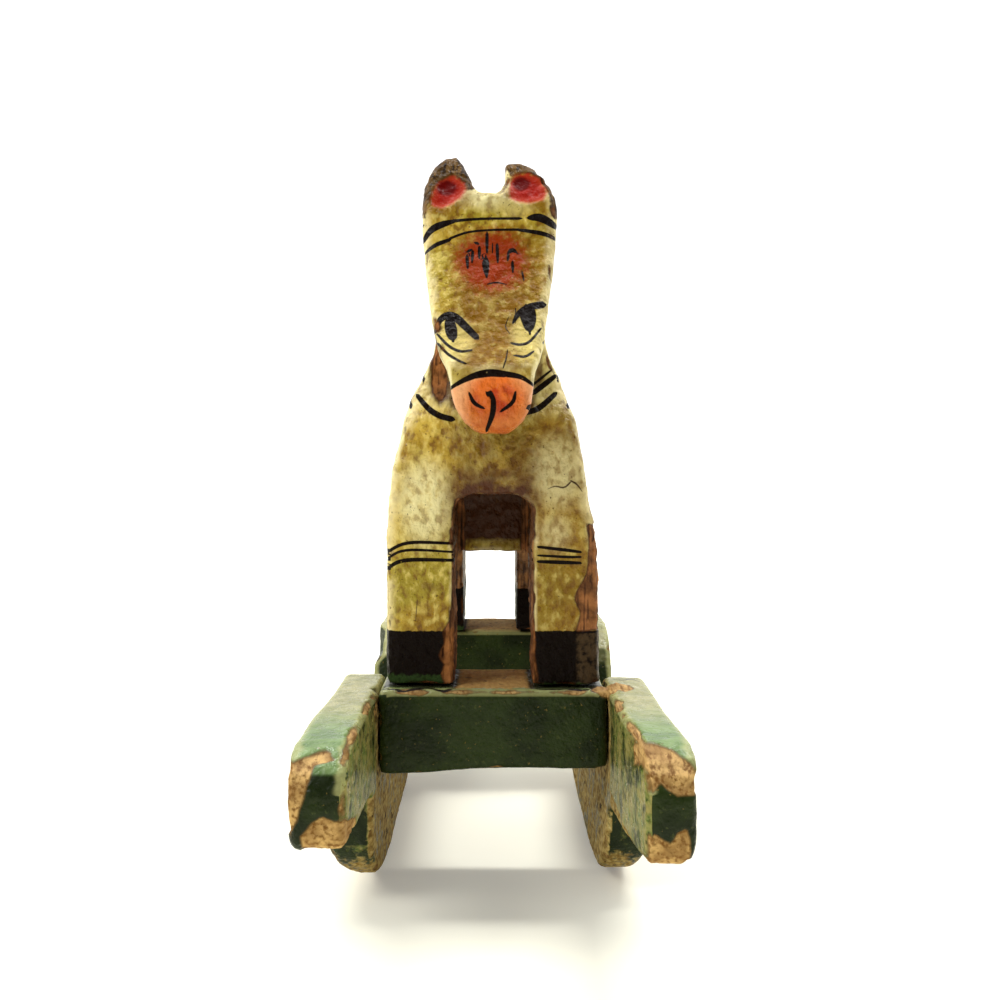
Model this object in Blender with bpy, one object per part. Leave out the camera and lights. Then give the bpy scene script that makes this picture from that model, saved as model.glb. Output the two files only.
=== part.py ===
"""A hand-carved wooden toy horse that stands on two crossbars between two green rocker boards.

Metres, +Z up. The horse faces -Y, its left is +X, and the origin is on the floor under the middle.
"""

import math

import bmesh
import bpy
import numpy as np

GAP = 0.0003  # between pieces that touch
OVERCUT = 0.010  # how far a cutter runs out past what it cuts

# Rocker boards, which set the length and the width of the whole toy
ROCKER_LENGTH = 0.285
ROCKER_THICKNESS = 0.0145
ROCKER_TOP = 0.067
ROCKER_INNER_X = 0.03705
ROCKER_EDGE = 0.0014
DIP_FLOOR = 0.036
DIP_HALF_WIDTH = 0.034
DIP_RADIUS = 0.012
FRONT_LOBE_RADIUS = 0.006
REAR_LOBE_RADIUS = 0.026
LOBE_POWER = 3.2
LOBE_STEPS = 14
TREAD_WEAR = 0.0003  # how much of the rocking edge is worn flat
NOSE_RADIUS = 0.013
NOSE_LEAN = 0.0015  # how much further back the chin is than the nose
CHIN_RADIUS = 0.006
# Each hand-sawn board's notch height, lobe reach and chin height, and where its top meets the dip
LEFT_ROCKER_SHAPE = (0.030, 0.075, 0.0375, 0.049)
RIGHT_ROCKER_SHAPE = (0.038, 0.085, 0.0412, 0.043)

# Crossbars
BAR_HALF_LENGTH = ROCKER_INNER_X - GAP
BAR_DEPTH = 0.0335
BAR_HEIGHT = 0.0255
BAR_TOP = 0.06725
BAR_CENTRE_Y = 0.05575
BAR_EDGE = 0.0012

# Horse
HOOF_BOTTOM = BAR_TOP + GAP
LEG_OUTER_X = 0.035
FRONT_SLOT_HALF = 0.01235
REAR_SLOT_HALF = 0.0127
FRONT_ARCH_TOP = 0.1295
REAR_ARCH_TOP = 0.113
ARCH_RADIUS = 0.006
CHAMFER = 0.0035
HEAD_CHAMFER = 0.0030
TAIL_CHAMFER = 0.0020
FRONT_ARCH_SPAN = (-0.0900, -0.0335)
REAR_ARCH_SPAN = (0.0200, 0.1100)
EAR_SPAN = (-0.0900, -0.0300)
EAR_TOP = 0.2418
TAIL_HALF = 0.006

# Dowels up through the crossbars into the legs
PEG_RADIUS = 0.003
PEG_TOP = 0.090
PEG_X = (FRONT_SLOT_HALF + LEG_OUTER_X) / 2
FRONT_PEG_Y = -0.0535
REAR_PEG_Y = BAR_CENTRE_Y

# Nails through the rockers into the ends of the crossbars
NAIL_RADIUS = 0.0012
NAIL_HEAD_RADIUS = 0.0026
NAIL_HEAD_THICKNESS = 0.0012
NAIL_LENGTH = 0.030
NAIL_SPREAD_Y = 0.010
NAIL_SPREAD_Z = 0.006

ARC_STEP = math.radians(18)
ROUND_SIDES = 16
PI_OVER_2 = math.pi / 2


def clear_scene():
    for obj in list(bpy.data.objects):
        bpy.data.objects.remove(obj, do_unlink=True)


def make_material(name, colour, roughness, metallic=0.0):
    material = bpy.data.materials.new(name)
    material.use_nodes = True
    shader = material.node_tree.nodes["Principled BSDF"]
    shader.inputs["Base Color"].default_value = (*colour, 1.0)
    shader.inputs["Roughness"].default_value = roughness
    shader.inputs["Metallic"].default_value = metallic
    material.diffuse_color = (*colour, 1.0)
    return material


def make_object(name, bm, material):
    bmesh.ops.recalc_face_normals(bm, faces=bm.faces)
    mesh = bpy.data.meshes.new(name)
    bm.to_mesh(mesh)
    bm.free()
    mesh.shade_smooth()
    mesh.set_sharp_from_angle(angle=math.radians(35))
    mesh.materials.append(material)
    obj = bpy.data.objects.new(name, mesh)
    bpy.context.scene.collection.objects.link(obj)
    return obj


def make_guide(name, bm, material):
    guide = make_object(name, bm, material)
    guide.hide_render = True
    guide.display_type = "WIRE"
    return guide


def combine(obj, guide, operation):
    modifier = obj.modifiers.new(guide.name, "BOOLEAN")
    modifier.operation = operation
    modifier.solver = "EXACT"
    modifier.object = guide


def rounded_outline(corners):
    """A closed outline from (a, b, radius) corners, each corner turned into an arc."""
    points = []
    for index, (a, b, radius) in enumerate(corners):
        corner = np.array((a, b))
        before = np.array(corners[index - 1][:2]) - corner
        after = np.array(corners[(index + 1) % len(corners)][:2]) - corner
        before /= np.linalg.norm(before)
        after /= np.linalg.norm(after)
        half_angle = math.acos(np.clip(before @ after, -1, 1)) / 2
        turn = math.pi - 2 * half_angle
        if radius == 0 or turn < ARC_STEP / 2:
            points.append(tuple(corner))
            continue
        bisector = (before + after) / np.linalg.norm(before + after)
        centre = corner + bisector * radius / math.sin(half_angle)
        start = corner + before * radius / math.tan(half_angle) - centre
        end = corner + after * radius / math.tan(half_angle) - centre
        steps = max(2, round(turn / ARC_STEP))
        for step in range(steps + 1):
            share = step / steps
            spoke = (start * math.sin((1 - share) * turn) + end * math.sin(share * turn)) / math.sin(turn)
            points.append(tuple(centre + spoke))
    return points


def prism(outline, low, high, axis):
    """Extrudes a closed outline along X (outline in Y and Z) or along Y (outline in X and Z)."""
    bm = bmesh.new()
    place = (lambda a, b: (low, a, b)) if axis == "X" else (lambda a, b: (a, low, b))
    along = (high - low, 0, 0) if axis == "X" else (0, high - low, 0)
    base = bm.faces.new([bm.verts.new(place(a, b)) for a, b in outline])
    extruded = bmesh.ops.extrude_face_region(bm, geom=[base])
    moved = [item for item in extruded["geom"] if isinstance(item, bmesh.types.BMVert)]
    bmesh.ops.translate(bm, verts=moved, vec=along)
    bmesh.ops.recalc_face_normals(bm, faces=bm.faces)
    return bm


def ease_rims(bm, width, segments):
    """Bevels the two rims of a prism along X, where its flat ends meet its side."""
    rims = [edge for edge in bm.edges if abs(edge.verts[0].co.x - edge.verts[1].co.x) < 1e-7]
    bmesh.ops.bevel(bm, geom=rims, offset=width, segments=segments, profile=0.5, affect="EDGES")


def carved_form(corners, widths, chamfer=CHAMFER):
    """A side outline sawn from a plank, its rims eased, then thinned to a half width at each height."""
    heights, half_widths = zip(*widths)
    thickest = max(half_widths)
    bm = prism(rounded_outline(corners), -thickest, thickest, "X")
    ease_rims(bm, chamfer, 2)
    for height in heights:
        everything = bm.verts[:] + bm.edges[:] + bm.faces[:]
        bmesh.ops.bisect_plane(bm, geom=everything, plane_co=(0, 0, height), plane_no=(0, 0, 1), dist=1e-6)
    for vert in bm.verts:
        vert.co.x *= np.interp(vert.co.z, heights, half_widths) / thickest
    return bm


def cut_below(bm, height):
    """Saws a form off flat and closes it."""
    everything = bm.verts[:] + bm.edges[:] + bm.faces[:]
    cut = bmesh.ops.bisect_plane(
        bm, geom=everything, plane_co=(0, 0, height), plane_no=(0, 0, 1), clear_inner=True
    )
    rim = [item for item in cut["geom_cut"] if isinstance(item, bmesh.types.BMEdge)]
    bmesh.ops.edgeloop_fill(bm, edges=rim)


def add_upright_cylinder(bm, radius, low, high, x, y):
    made = bmesh.ops.create_cone(
        bm, cap_ends=True, segments=ROUND_SIDES, radius1=radius, radius2=radius, depth=high - low
    )
    bmesh.ops.translate(bm, verts=made["verts"], vec=(x, y, (low + high) / 2))


# ---------------------------------------------------------------- horse

# Half width of the horse at each height, from the hooves to between the ears
BODY_WIDTHS = (
    (0.0600, 0.0350),
    (0.1050, 0.0350),
    (0.1280, 0.0332),
    (0.1440, 0.0310),
    (0.1540, 0.0293),
    (0.1620, 0.0264),
    (0.1670, 0.0236),
    (0.1720, 0.0208),
    (0.1770, 0.0188),
    (0.1850, 0.0175),
    (0.2000, 0.0180),
    (0.2130, 0.0195),
    (0.2320, 0.0200),
)

HEAD_WIDTHS = (
    (0.1480, 0.0030),
    (0.1495, 0.0056),
    (0.1524, 0.0090),
    (0.1567, 0.0114),
    (0.1610, 0.0124),
    (0.1665, 0.0128),
    (0.1720, 0.0152),
    (0.1820, 0.0174),
    (0.2000, 0.0202),
    (0.2130, 0.0216),
    (0.2240, 0.0217),
    (0.2310, 0.0211),
    (0.2375, 0.0187),
    (0.2400, 0.0154),
    (EAR_TOP, 0.0120),
)

# Side outlines as (y, z, corner radius)
TORSO_CORNERS = (
    (-0.0680, 0.0600, 0.0040),
    (-0.0355, 0.0600, 0.0040),
    (-0.0350, 0.1110, 0.0080),
    (0.0000, 0.1095, 0.0300),
    (0.0330, 0.1120, 0.0120),
    (0.0370, 0.0900, 0.0100),
    (0.0360, 0.0600, 0.0040),
    (0.0750, 0.0600, 0.0040),
    (0.0745, 0.0880, 0.0200),
    (0.0890, 0.1220, 0.0250),
    (0.0880, 0.1600, 0.0180),
    (0.0560, 0.1690, 0.0300),
    (0.0150, 0.1620, 0.0500),
    (-0.0350, 0.1690, 0.0100),
    (-0.0580, 0.1690, 0.0060),
    (-0.0690, 0.1560, 0.0120),
    (-0.0710, 0.1380, 0.0200),
    (-0.0680, 0.1080, 0.0400),
)

NECK_CORNERS = (
    (-0.0640, 0.1440, 0.0040),
    (0.0060, 0.1440, 0.0040),
    (-0.0030, 0.1700, 0.0150),
    (-0.0200, 0.1860, 0.0400),
    (-0.0330, 0.2150, 0.0300),
    (-0.0460, 0.2315, 0.0060),
    (-0.0640, 0.2315, 0.0040),
    (-0.0680, 0.1900, 0.0060),
    (-0.0630, 0.1680, 0.0100),
    (-0.0680, 0.1560, 0.0060),
)

HEAD_CORNERS = (
    (-0.1035, 0.1480, 0.0050),
    (-0.0830, 0.1500, 0.0080),
    (-0.0640, 0.1620, 0.0100),
    (-0.0540, 0.1720, 0.0080),
    (-0.0480, 0.2000, 0.0100),
    (-0.0430, 0.2330, 0.0060),
    (-0.0490, EAR_TOP, 0.0040),
    (-0.0620, EAR_TOP, 0.0036),
    (-0.0710, 0.2260, 0.0200),
    (-0.0760, 0.2080, 0.0300),
    (-0.0930, 0.1780, 0.0300),
    (-0.1050, 0.1680, 0.0050),
)

TAIL_CORNERS = (
    (0.0760, 0.1000, 0.0036),
    (0.0830, 0.0960, 0.0040),
    (0.0960, 0.1200, 0.0300),
    (0.0970, 0.1480, 0.0150),
    (0.0860, 0.1640, 0.0060),
    (0.0760, 0.1600, 0.0036),
)

TAIL_WIDTHS = ((0.0950, 0.6 * TAIL_HALF), (0.1200, TAIL_HALF), (0.1650, 0.8 * TAIL_HALF))


def arch_outline(half_width, top):
    below = HOOF_BOTTOM - OVERCUT
    return rounded_outline(
        (
            (-half_width, below, 0),
            (half_width, below, 0),
            (half_width, top, ARCH_RADIUS),
            (-half_width, top, ARCH_RADIUS),
        )
    )


def ear_notch_outline():
    """The valley between the ears, open at the top. The left ear has lost a chip from its inner edge."""
    above = EAR_TOP + OVERCUT
    return rounded_outline(
        (
            (-0.0042, 0.2276, 0.0015),
            (0.0030, 0.2268, 0.0020),
            (0.0052, 0.2305, 0.0015),
            (0.0055, above, 0),
            (-0.0110, above, 0),
            (-0.0110, EAR_TOP, 0.0020),
            (-0.0082, 0.2370, 0.0060),
        )
    )


def left_ear_trim_outline():
    """What the left ear lacks outside: it is lower and rounder than the right one."""
    beyond = LEG_OUTER_X
    above = EAR_TOP + OVERCUT
    return rounded_outline(
        (
            (0.0225, 0.2200, 0),
            (beyond, 0.2200, 0),
            (beyond, above, 0),
            (0.0020, above, 0),
            (0.0020, 0.2387, 0),
            (0.0122, 0.2387, 0.0060),
            (0.0178, 0.2335, 0.0080),
            (0.0205, 0.2270, 0.0080),
        )
    )


def leg_places():
    """Each leg's name with the sign of its side and the Y of its peg."""
    for end, peg_y in (("front", FRONT_PEG_Y), ("rear", REAR_PEG_Y)):
        for side, sign in (("left", 1), ("right", -1)):
            yield f"{end}_{side}", sign, peg_y


def peg_holes(low, high):
    bm = bmesh.new()
    for _name, sign, peg_y in leg_places():
        add_upright_cylinder(bm, PEG_RADIUS + GAP, low, high, sign * PEG_X, peg_y)
    return bm


def build_horse(paint):
    torso = carved_form(TORSO_CORNERS, BODY_WIDTHS)
    cut_below(torso, HOOF_BOTTOM)
    horse = make_object("horse_body", torso, paint)
    neck = make_guide("neck_form", carved_form(NECK_CORNERS, BODY_WIDTHS), paint)
    head = make_guide("head_form", carved_form(HEAD_CORNERS, HEAD_WIDTHS, HEAD_CHAMFER), paint)
    tail = make_guide("tail_form", carved_form(TAIL_CORNERS, TAIL_WIDTHS, TAIL_CHAMFER), paint)
    for form in (neck, head, tail):
        combine(horse, form, "UNION")
    front_arch = prism(arch_outline(FRONT_SLOT_HALF, FRONT_ARCH_TOP), *FRONT_ARCH_SPAN, "Y")
    rear_arch = prism(arch_outline(REAR_SLOT_HALF, REAR_ARCH_TOP), *REAR_ARCH_SPAN, "Y")
    ear_notch = prism(ear_notch_outline(), *EAR_SPAN, "Y")
    ear_trim = prism(left_ear_trim_outline(), *EAR_SPAN, "Y")
    pegs = peg_holes(HOOF_BOTTOM - OVERCUT, PEG_TOP + GAP)
    cuts = (
        ("front_arch", front_arch),
        ("rear_arch", rear_arch),
        ("ear_notch", ear_notch),
        ("ear_trim", ear_trim),
        ("leg_holes", pegs),
    )
    for name, cutter in cuts:
        combine(horse, make_guide(name, cutter, paint), "DIFFERENCE")


# ---------------------------------------------------------------- rockers and crossbars


def rocker_half(notch_height, lobe_reach, chin_height, top_y, lobe_radius):
    """Half of a rocker's outline, from the middle of its rocking edge round the horn to the dip."""
    half_length = ROCKER_LENGTH / 2
    lobe = []
    for step in range(LOBE_STEPS + 1):
        angle = PI_OVER_2 * (1 - step / LOBE_STEPS)
        reach = lobe_reach * math.cos(angle) ** (2 / LOBE_POWER)
        drop = (notch_height + TREAD_WEAR) * math.sin(angle) ** (2 / LOBE_POWER)
        height = notch_height - drop
        if height > 0:
            lobe.append((reach, height, 0))
    flat_end = 0.8 * lobe[0][0]  # short of where the edge starts to rise
    corners = [(0, 0, 0), (flat_end, 0, 0), *lobe]
    corners += [
        (half_length - NOSE_LEAN, chin_height, CHIN_RADIUS),
        (half_length, ROCKER_TOP, NOSE_RADIUS),
        (top_y, ROCKER_TOP, lobe_radius),
        (DIP_HALF_WIDTH, DIP_FLOOR, DIP_RADIUS),
        (0, DIP_FLOOR, 0),
    ]
    return corners


def rocker_outline(*shape):
    rear = rocker_half(*shape, REAR_LOBE_RADIUS)
    front = [(-y, z, radius) for y, z, radius in reversed(rocker_half(*shape, FRONT_LOBE_RADIUS)[1:-1])]
    return rounded_outline([*rear, *front])


def nail_places(sign):
    """Each nail's name with its point on the rocker's outer face."""
    side = "left" if sign > 0 else "right"
    outer = sign * (ROCKER_INNER_X + ROCKER_THICKNESS)
    middle = BAR_TOP - BAR_HEIGHT / 2
    for end_name, end in (("front", -1), ("rear", 1)):
        for height_name, step in (("lower", -1), ("upper", 1)):
            y = end * (BAR_CENTRE_Y + step * NAIL_SPREAD_Y)
            yield f"{end_name}_{side}_{height_name}_nail", (outer, y, middle + step * NAIL_SPREAD_Z)


def add_turned(bm, profile, place, sign):
    """Adds a round body whose radius changes along X: profile has (depth under the face, radius)."""
    rings = []
    for depth, radius in profile:
        ring = []
        for side in range(ROUND_SIDES):
            angle = 2 * math.pi * side / ROUND_SIDES
            spoke = (-sign * depth, radius * math.cos(angle), radius * math.sin(angle))
            ring.append(bm.verts.new([part + shift for part, shift in zip(place, spoke)]))
        rings.append(ring)
    bm.faces.new(rings[0])
    bm.faces.new(rings[-1])
    for ring, following in zip(rings, rings[1:]):
        for side in range(ROUND_SIDES):
            after = (side + 1) % ROUND_SIDES
            bm.faces.new((ring[side], ring[after], following[after], following[side]))


def nail_profile(grow, above=0.0):
    head_end = NAIL_HEAD_THICKNESS + grow
    return (
        (-above, NAIL_HEAD_RADIUS + grow),
        (head_end, NAIL_HEAD_RADIUS + grow),
        (head_end, NAIL_RADIUS + grow),
        (NAIL_LENGTH + grow, NAIL_RADIUS + grow),
    )


def build_rocker(side, sign, shape, paint):
    inner = sign * ROCKER_INNER_X
    outer = sign * (ROCKER_INNER_X + ROCKER_THICKNESS)
    board = prism(rocker_outline(*shape), min(inner, outer), max(inner, outer), "X")
    ease_rims(board, ROCKER_EDGE, 1)
    rocker = make_object(f"{side}_rocker", board, paint)
    holes = bmesh.new()
    for _name, place in nail_places(sign):
        add_turned(holes, nail_profile(GAP, above=0.001), place, sign)
    combine(rocker, make_guide(f"{side}_nail_holes", holes, paint), "DIFFERENCE")


def build_crossbar(name, end, paint):
    bm = bmesh.new()
    size = (2 * BAR_HALF_LENGTH, BAR_DEPTH, BAR_HEIGHT)
    centre = (0, end * BAR_CENTRE_Y, BAR_TOP - BAR_HEIGHT / 2)
    bmesh.ops.create_cube(bm, size=1)
    for vert in bm.verts:
        vert.co = [part * length + shift for part, length, shift in zip(vert.co, size, centre)]
    bmesh.ops.bevel(bm, geom=bm.edges[:], offset=BAR_EDGE, segments=1, affect="EDGES")
    bar = make_object(name, bm, paint)
    combine(bar, bpy.data.objects["peg_hole_guide"], "DIFFERENCE")
    for side in ("left", "right"):
        combine(bar, bpy.data.objects[f"{side}_nail_holes"], "DIFFERENCE")


def build_pegs(wood):
    low = BAR_TOP - BAR_HEIGHT + GAP
    for name, sign, peg_y in leg_places():
        bm = bmesh.new()
        add_upright_cylinder(bm, PEG_RADIUS, low, PEG_TOP, sign * PEG_X, peg_y)
        make_object(f"{name}_leg_peg", bm, wood)


def build_nails(iron):
    for sign in (1, -1):
        for name, place in nail_places(sign):
            bm = bmesh.new()
            add_turned(bm, nail_profile(0), place, sign)
            make_object(name, bm, iron)


def main():
    clear_scene()
    horse_paint = make_material("horse_paint", (0.52, 0.42, 0.16), 0.45)
    green_paint = make_material("green_paint", (0.02, 0.07, 0.03), 0.40)
    raw_wood = make_material("raw_wood", (0.45, 0.28, 0.13), 0.75)
    iron = make_material("nail_iron", (0.12, 0.09, 0.07), 0.60, 0.9)
    build_horse(horse_paint)
    build_rocker("left", 1, LEFT_ROCKER_SHAPE, green_paint)
    build_rocker("right", -1, RIGHT_ROCKER_SHAPE, green_paint)
    holes = peg_holes(BAR_TOP - BAR_HEIGHT - OVERCUT, PEG_TOP)
    make_guide("peg_hole_guide", holes, green_paint)
    build_crossbar("front_crossbar", -1, green_paint)
    build_crossbar("rear_crossbar", 1, green_paint)
    build_pegs(raw_wood)
    build_nails(iron)


main()
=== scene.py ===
"""Looks of the hand-carved, hand-painted wooden horse on its two rocker boards.

The horse faces -Y and its left is +X. Points, outlines, strokes and painted fields are in millimetres.
The lights, the camera and the floor are in metres. A field is a number at each point of a mesh, most often
the signed distance to the edge of a painted or worn area, below zero inside it.
"""

import math

import bpy
import numpy as np
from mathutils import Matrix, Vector


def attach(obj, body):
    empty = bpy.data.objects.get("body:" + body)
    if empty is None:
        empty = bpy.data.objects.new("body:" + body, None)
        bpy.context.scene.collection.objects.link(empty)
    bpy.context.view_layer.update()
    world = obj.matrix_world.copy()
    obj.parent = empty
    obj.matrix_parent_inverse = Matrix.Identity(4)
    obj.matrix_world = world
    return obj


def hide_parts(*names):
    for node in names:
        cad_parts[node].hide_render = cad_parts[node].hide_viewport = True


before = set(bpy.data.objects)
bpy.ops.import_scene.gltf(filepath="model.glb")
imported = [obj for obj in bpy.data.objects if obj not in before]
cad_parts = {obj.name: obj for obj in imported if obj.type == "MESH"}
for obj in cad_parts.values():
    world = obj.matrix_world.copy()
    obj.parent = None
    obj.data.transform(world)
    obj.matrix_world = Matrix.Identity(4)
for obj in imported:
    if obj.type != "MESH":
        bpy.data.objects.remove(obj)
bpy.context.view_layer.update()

MM = 0.001

# Field values well outside an area, for points that it never reaches
OUTSIDE = 50.0
NOWHERE = 1000.0

NOISE_TABLE_SIZE = 256

# Brush strokes: the clearance where there is none, how far off one is looked for, and how far past its edge
# its width is still written
NO_STROKE = 9.0
STROKE_REACH = 4.0
STROKE_MARGIN = 1.3


# ---------------- numbers on surfaces


def smoothstep(value, low, high):
    share = np.clip((value - low) / (high - low), 0, 1)
    return share * share * (3 - 2 * share)


def lattice_noise(points, size, seed):
    """Smooth noise between -1 and 1 at points in millimetres, with features about size across."""
    random = np.random.default_rng(seed)
    table = random.permutation(NOISE_TABLE_SIZE)
    values = random.uniform(-1, 1, NOISE_TABLE_SIZE)
    last = NOISE_TABLE_SIZE - 1
    scaled = points / size + random.uniform(0, 64, 3)
    cell = np.floor(scaled).astype(int)
    inside = scaled - cell
    weight = inside * inside * (3 - 2 * inside)
    total = np.zeros(len(points))
    for corner in range(8):
        step = np.array([(corner >> axis) & 1 for axis in range(3)])
        x, y, z = ((cell + step) & last).T
        picked = values[table[(table[(table[x] + y) & last] + z) & last]]
        share = np.prod(np.where(step, weight, 1 - weight), axis=1)
        total += picked * share
    return total


def rough_noise(points, size, seed, octaves=3):
    """Several sizes of noise added together."""
    total = np.zeros(len(points))
    for octave in range(octaves):
        total += lattice_noise(points, size / 2**octave, seed + octave) / 2**octave
    return total / (2 - 0.5 ** (octaves - 1))


def smooth_path(controls, steps=6):
    """A curve through a few control points."""
    points = np.array(controls, float)
    if len(points) < 3:
        return points
    ends = np.vstack([2 * points[0] - points[1], points, 2 * points[-1] - points[-2]])
    path = []
    for a, b, c, d in zip(ends, ends[1:], ends[2:], ends[3:]):
        for step in range(steps):
            t = step / steps
            bend = (2 * a - 5 * b + 4 * c - d) * t**2 + (3 * b - a - 3 * c + d) * t**3
            path.append(0.5 * (2 * b + (c - a) * t + bend))
    path.append(points[-1])
    return np.array(path)


def add_stroke(flat, allowed, stroke, clearance, across, half_width):
    """Writes one brush stroke into the arrays where it is nearer than what they hold."""
    controls, start_width, middle_width, end_width = stroke
    path = smooth_path(controls)
    low = path.min(axis=0) - STROKE_REACH
    high = path.max(axis=0) + STROKE_REACH
    chosen = np.nonzero(np.all((flat > low) & (flat < high), axis=1) & allowed)[0]
    picked = flat[chosen]
    count = len(path) - 1
    for index in range(count):
        start, along = path[index], path[index + 1] - path[index]
        offset = picked - start
        length = max(np.linalg.norm(along), 1e-6)
        share = offset @ along / length**2
        held = np.clip(share, 0, 1)
        to_side = (along[0] * offset[:, 1] - along[1] * offset[:, 0]) / length
        travelled = (index + held) / count
        ends = start_width + (end_width - start_width) * travelled
        swell = (middle_width - (start_width + end_width) / 2) * np.sin(math.pi * travelled)
        half = (ends + swell) / 2
        overshoot = np.abs(share - held) * length
        at_end = ((index == 0) & (share < 0)) | ((index == count - 1) & (share > 1))
        distance = np.where(at_end, np.abs(to_side), np.hypot(to_side, overshoot))
        half = np.where(at_end, half - overshoot, half)
        closer = distance - half < clearance[chosen]
        spots = chosen[closer]
        clearance[spots] = (distance - half)[closer]
        across[spots] = (np.sign(to_side) * distance)[closer]
        half_width[spots] = np.where(distance < half + STROKE_MARGIN, half, -1)[closer]


def write_strokes(obj, name, groups):
    """Writes brush strokes, given as groups of (flat points, which points may take paint, strokes).

    A point holds how far it is to one side of the nearest stroke, a number that changes sign across the
    stroke, and the stroke's half width. Three layers keep neighbouring strokes apart.
    """
    count = len(obj.data.vertices)
    across = np.full((3, count), NO_STROKE)
    half_width = np.full((3, count), -1.0)
    clearance = np.full((3, count), NO_STROKE)
    for flat, allowed, strokes in groups:
        for index, stroke in enumerate(strokes):
            layer = index % 3
            add_stroke(flat, allowed, stroke, clearance[layer], across[layer], half_width[layer])
    write_vectors(obj, name + "_across", across.T)
    write_vectors(obj, name + "_half_width", half_width.T)


def ellipse_field(flat, centre, half_size):
    """About the signed distance to an upright ellipse."""
    scaled = np.linalg.norm((flat - centre) / half_size, axis=1)
    return (scaled - 1) * min(half_size)


def outline_field(flat, outline):
    """Signed distance to a closed outline: below zero inside it."""
    corners = np.array(outline, float)
    distance = np.full(len(flat), NOWHERE)
    inside = np.zeros(len(flat), bool)
    for start, end in zip(corners, np.roll(corners, -1, axis=0)):
        along = end - start
        offset = flat - start
        share = np.clip(offset @ along / (along @ along), 0, 1)
        distance = np.minimum(distance, np.linalg.norm(offset - share[:, None] * along, axis=1))
        if along[1]:
            level = (start[1] > flat[:, 1]) != (end[1] > flat[:, 1])
            inside ^= level & (flat[:, 0] < start[0] + offset[:, 1] * along[0] / along[1])
    return np.where(inside, -distance, distance)


# ---------------- carved meshes


def add_object(name, data):
    obj = bpy.data.objects.new(name, data)
    bpy.context.scene.collection.objects.link(obj)
    return obj


def carved_copy(node, name, voxel_mm, smoothing):
    """A fine, eased copy of a CAD node, which it then stands for."""
    obj = add_object(name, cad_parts[node].data.copy())
    remesh = obj.modifiers.new("Fine", "REMESH")
    remesh.mode = "VOXEL"
    remesh.voxel_size = voxel_mm * MM
    ease = obj.modifiers.new("Ease", "SMOOTH")
    ease.factor = 0.5
    ease.iterations = smoothing
    evaluated = obj.evaluated_get(bpy.context.evaluated_depsgraph_get())
    mesh = bpy.data.meshes.new_from_object(evaluated)
    obj.modifiers.clear()
    obj.data = mesh
    mesh.name = name
    mesh.materials.clear()
    mesh.shade_smooth()
    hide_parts(node)
    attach(obj, "root")
    return obj


def read_points(obj):
    """The points in millimetres and their normals."""
    mesh = obj.data
    points = np.empty(len(mesh.vertices) * 3)
    mesh.vertices.foreach_get("co", points)
    normals = np.empty(len(mesh.vertices) * 3)
    mesh.vertex_normals.foreach_get("vector", normals)
    return points.reshape(-1, 3) / MM, normals.reshape(-1, 3)


def neighbour_mean(obj, values, rounds=1):
    """The values averaged over each point's neighbours, again and again."""
    edges = np.empty(len(obj.data.edges) * 2, int)
    obj.data.edges.foreach_get("vertices", edges)
    first, second = edges.reshape(-1, 2).T
    counts = np.bincount(edges, minlength=len(values))
    for _round in range(rounds):
        columns = values.reshape(len(values), -1).T
        after = [np.bincount(first, column[second], len(values)) for column in columns]
        before = [np.bincount(second, column[first], len(values)) for column in columns]
        values = ((np.array(after) + np.array(before)) / counts).T.reshape(values.shape)
    return values


def convexity(obj, points, normals):
    """About 1 on an outward edge, 0 on a flat face and -1 in an inward corner."""
    edge_gain = 6
    lift = np.sum((points - neighbour_mean(obj, points, 3)) * normals, axis=1)
    return np.clip(neighbour_mean(obj, lift, 2) * edge_gain, -1, 1)


def write_points(obj, points):
    obj.data.vertices.foreach_set("co", (points * MM).ravel())
    obj.data.update()


def write_field(obj, name, values):
    attribute = obj.data.attributes.new(name, "FLOAT", "POINT")
    attribute.data.foreach_set("value", values.astype(np.float32))


def write_vectors(obj, name, values):
    attribute = obj.data.attributes.new(name, "FLOAT_VECTOR", "POINT")
    attribute.data.foreach_set("vector", values.astype(np.float32).ravel())


# ---------------- node materials


def linear(share):
    """A display value from 0 to 1 as linear light."""
    if share <= 0.04:
        return share / 12.92
    return ((share + 0.055) / 1.055) ** 2.4


def srgb(red, green, blue):
    """A colour given from 0 to 255, as the shader's linear values."""
    return (linear(red / 255), linear(green / 255), linear(blue / 255), 1.0)


def smooth_range(tree, low, high, to_low, to_high):
    """A node that steps smoothly from to_low, at low, to to_high, at high."""
    node = tree.nodes.new("ShaderNodeMapRange")
    node.interpolation_type = "SMOOTHSTEP"
    for name, number in (("From Min", low), ("From Max", high), ("To Min", to_low), ("To Max", to_high)):
        node.inputs[name].default_value = number
    return node


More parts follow.
